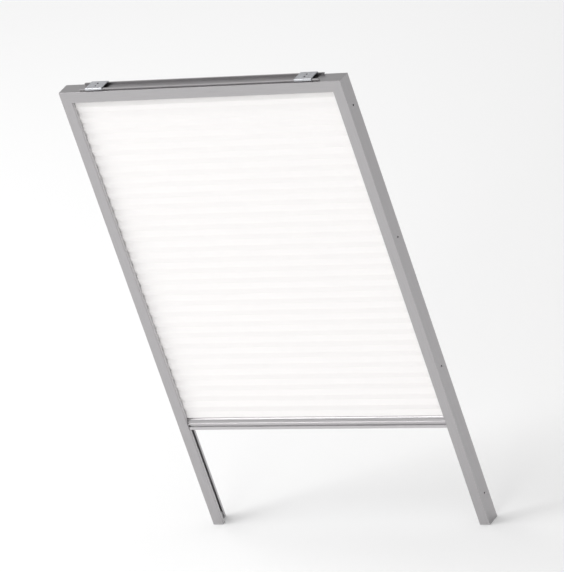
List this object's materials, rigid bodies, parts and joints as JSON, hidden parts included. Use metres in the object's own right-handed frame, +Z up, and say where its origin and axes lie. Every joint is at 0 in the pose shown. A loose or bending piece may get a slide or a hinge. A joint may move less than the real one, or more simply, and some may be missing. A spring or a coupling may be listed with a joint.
{
  "type": "roof window blackout blind",
  "caption": "Blackout blind for a roof window: white honeycomb cloth in a mitred aluminium frame, with a bottom bar that slides in the side channels.",
  "frame": {"origin": "middle of the four head bracket holes, on the face that meets the window's sash", "axes": "+X right seen from the room, +Y away from the room, +Z up along the channels"},
  "size_m": [0.673, 0.0334, 1.0369],
  "materials": {
    "anodised_aluminium": "natural anodised, satin",
    "grey_plastic": "moulded, fine grain",
    "dark_plastic": "moulded, low friction",
    "white_cloth": "woven, matt",
    "strip_plastic": "extruded",
    "cord": "braided",
    "grey_pile": "short dense pile",
    "zinc_steel": "zinc plated"
  },
  "bodies": {
    "head": {"channel_foot_left": "grey_plastic", "channel_foot_right": "grey_plastic", "cloth_top_strip": "strip_plastic", "cord_stop_left": "zinc_steel", "cord_stop_right": "zinc_steel", "corner_key_left": "grey_plastic", "corner_key_right": "grey_plastic", "front_seal_left": "grey_pile", "front_seal_right": "grey_pile", "guide_cord_left": "cord", "guide_cord_right": "cord", "head_channel": "anodised_aluminium", "honeycomb_cloth": "white_cloth", "mounting_bracket_left": "zinc_steel", "mounting_bracket_right": "zinc_steel", "side_channel_left": "anodised_aluminium", "side_channel_right": "anodised_aluminium", "spring_anchor_left": "grey_plastic", "spring_anchor_right": "grey_plastic", "tension_spring_left": "zinc_steel", "tension_spring_right": "zinc_steel"},
    "bar": {"bottom_bar": "anodised_aluminium", "cloth_bottom_strip": "strip_plastic", "cross_cord_upper": "cord", "cross_cord_lower": "cord", "bar_shoe_left": "dark_plastic", "bar_shoe_right": "dark_plastic"}
  },
  "joints": [
    {"name": "bar_slide", "type": "slide", "parent": "head", "child": "bar", "axis": [0, 0, 1], "range_m": [-0.2146, 0.7225], "deforming": ["honeycomb_cloth"]}
  ]
}
